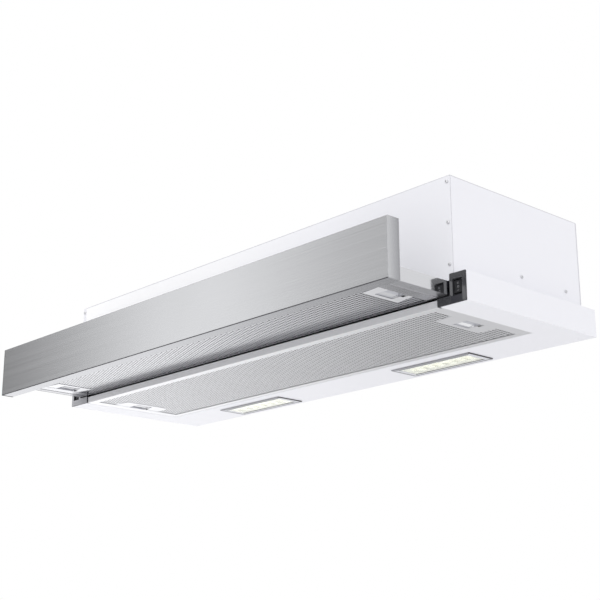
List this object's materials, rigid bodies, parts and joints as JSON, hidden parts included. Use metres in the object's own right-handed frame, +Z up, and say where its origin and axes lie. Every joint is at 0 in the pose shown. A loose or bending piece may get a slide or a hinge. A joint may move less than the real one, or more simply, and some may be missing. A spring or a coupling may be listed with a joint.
{
  "type": "range hood",
  "caption": "Under cabinet range hood with a slide-out filter tray, brushed steel fascia, white steel box, grease filters, corner switches and lamps.",
  "frame": {"origin": "on the wall plane (the back of the hood), in the middle of its width, at the level of the cabinet's underside, where the canopy's ledges meet it", "axes": "+X along the width to the right as seen from the front, +Y into the wall, +Z up"},
  "size_m": [0.898, 0.4164, 0.2185],
  "materials": {
    "white_paint": "satin white powder coat",
    "brushed_steel": "stainless steel brushed along its length",
    "polished_steel": "polished stainless steel",
    "filter_aluminium": "satin aluminium",
    "dark_grey_plastic": "moulded dark grey plastic",
    "black_plastic": "smooth black plastic",
    "galvanised_steel": "galvanised sheet",
    "lamp_grey": "moulded light grey plastic",
    "lamp_lens": "clear lamp cover",
    "led_board": "white circuit board with LEDs",
    "screw_zinc": "zinc plated",
    "nylon": "natural nylon"
  },
  "bodies": {
    "housing": {"back_panel": "white_paint", "blower_housing_left": "nylon", "blower_housing_right": "nylon", "cable_gland": "black_plastic", "canopy_shell": "white_paint", "capacitor": "nylon", "corner_bracket_left": "dark_grey_plastic", "corner_bracket_right": "dark_grey_plastic", "fixed_filter_frame": "filter_aluminium", "fixed_filter_mesh": "filter_aluminium", "front_panel": "white_paint", "front_screw_left_1": "screw_zinc", "front_screw_left_2": "screw_zinc", "front_screw_left_3": "screw_zinc", "front_screw_right_1": "screw_zinc", "front_screw_right_2": "screw_zinc", "front_screw_right_3": "screw_zinc", "lamp_bezel_left": "lamp_grey", "lamp_bezel_right": "lamp_grey", "lamp_lens_left": "lamp_lens", "lamp_lens_right": "lamp_lens", "led_board_left": "led_board", "led_board_right": "led_board", "led_driver": "black_plastic", "motor": "galvanised_steel", "motor_bracket": "galvanised_steel", "outlet_collar": "dark_grey_plastic", "side_panel_left": "white_paint", "side_panel_right": "white_paint", "side_screw_left_1": "screw_zinc", "side_screw_left_2": "screw_zinc", "side_screw_right_1": "screw_zinc", "side_screw_right_2": "screw_zinc", "slide_rail_left": "galvanised_steel", "slide_rail_right": "galvanised_steel", "switch_body_left": "black_plastic", "switch_body_right": "black_plastic", "terminal_box": "dark_grey_plastic", "terminal_box_cover": "dark_grey_plastic", "top_panel": "galvanised_steel"},
    "tray": {"fascia": "brushed_steel", "tray_arm_left": "polished_steel", "tray_arm_right": "polished_steel", "tray_cover": "galvanised_steel", "tray_mid_bar": "galvanised_steel", "tray_rear_bar": "galvanised_steel", "tray_glide_left": "nylon", "tray_glide_right": "nylon", "tray_filter_frame": "filter_aluminium", "tray_filter_mesh": "filter_aluminium"},
    "fan_wheel": {"impeller": "black_plastic", "motor_shaft": "polished_steel"},
    "damper_front": {"damper_flap_front": "black_plastic"},
    "damper_rear": {"damper_flap_rear": "black_plastic"},
    "switch_rocker_left": {"rocker_left": "black_plastic"},
    "switch_rocker_right": {"rocker_right": "black_plastic"},
    "fixed_filter_latch_left": {"fixed_latch_left": "lamp_grey"},
    "fixed_filter_latch_right": {"fixed_latch_right": "lamp_grey"},
    "tray_filter_latch_left": {"tray_latch_left": "lamp_grey"},
    "tray_filter_latch_right": {"tray_latch_right": "lamp_grey"}
  },
  "joints": [
    {"name": "tray_slide", "type": "slide", "parent": "housing", "child": "tray", "axis": [0, 1, 0], "range_m": [0, 0.118]},
    {"name": "fan_spin", "type": "hinge", "parent": "housing", "child": "fan_wheel", "pos_m": [0, -0.14, 0.06], "axis": [1, 0, 0], "continuous": true},
    {"name": "damper_front_hinge", "type": "hinge", "parent": "housing", "child": "damper_front", "pos_m": [0, -0.1034, 0.15], "axis": [-1, 0, 0], "range_deg": [0, 80]},
    {"name": "damper_rear_hinge", "type": "hinge", "parent": "housing", "child": "damper_rear", "pos_m": [0, -0.0966, 0.15], "axis": [1, 0, 0], "range_deg": [0, 80]},
    {"name": "rocker_left_hinge", "type": "hinge", "parent": "housing", "child": "switch_rocker_left", "pos_m": [-0.43495, -0.2731, -0.0196], "axis": [-1, 0, 0], "range_deg": [0, 20]},
    {"name": "rocker_right_hinge", "type": "hinge", "parent": "housing", "child": "switch_rocker_right", "pos_m": [0.43495, -0.2731, -0.0196], "axis": [-1, 0, 0], "range_deg": [-10, 10]},
    {"name": "fixed_filter_latch_left_slide", "type": "slide", "parent": "housing", "child": "fixed_filter_latch_left", "axis": [1, 0, 0], "range_m": [0, 0.005], "stiffness_N_per_m": 400, "springref_m": -0.002},
    {"name": "fixed_filter_latch_right_slide", "type": "slide", "parent": "housing", "child": "fixed_filter_latch_right", "axis": [-1, 0, 0], "range_m": [0, 0.005], "stiffness_N_per_m": 400, "springref_m": -0.002},
    {"name": "tray_filter_latch_left_slide", "type": "slide", "parent": "tray", "child": "tray_filter_latch_left", "axis": [1, 0, 0], "range_m": [0, 0.005], "stiffness_N_per_m": 400, "springref_m": -0.002},
    {"name": "tray_filter_latch_right_slide", "type": "slide", "parent": "tray", "child": "tray_filter_latch_right", "axis": [-1, 0, 0], "range_m": [0, 0.005], "stiffness_N_per_m": 400, "springref_m": -0.002}
  ]
}
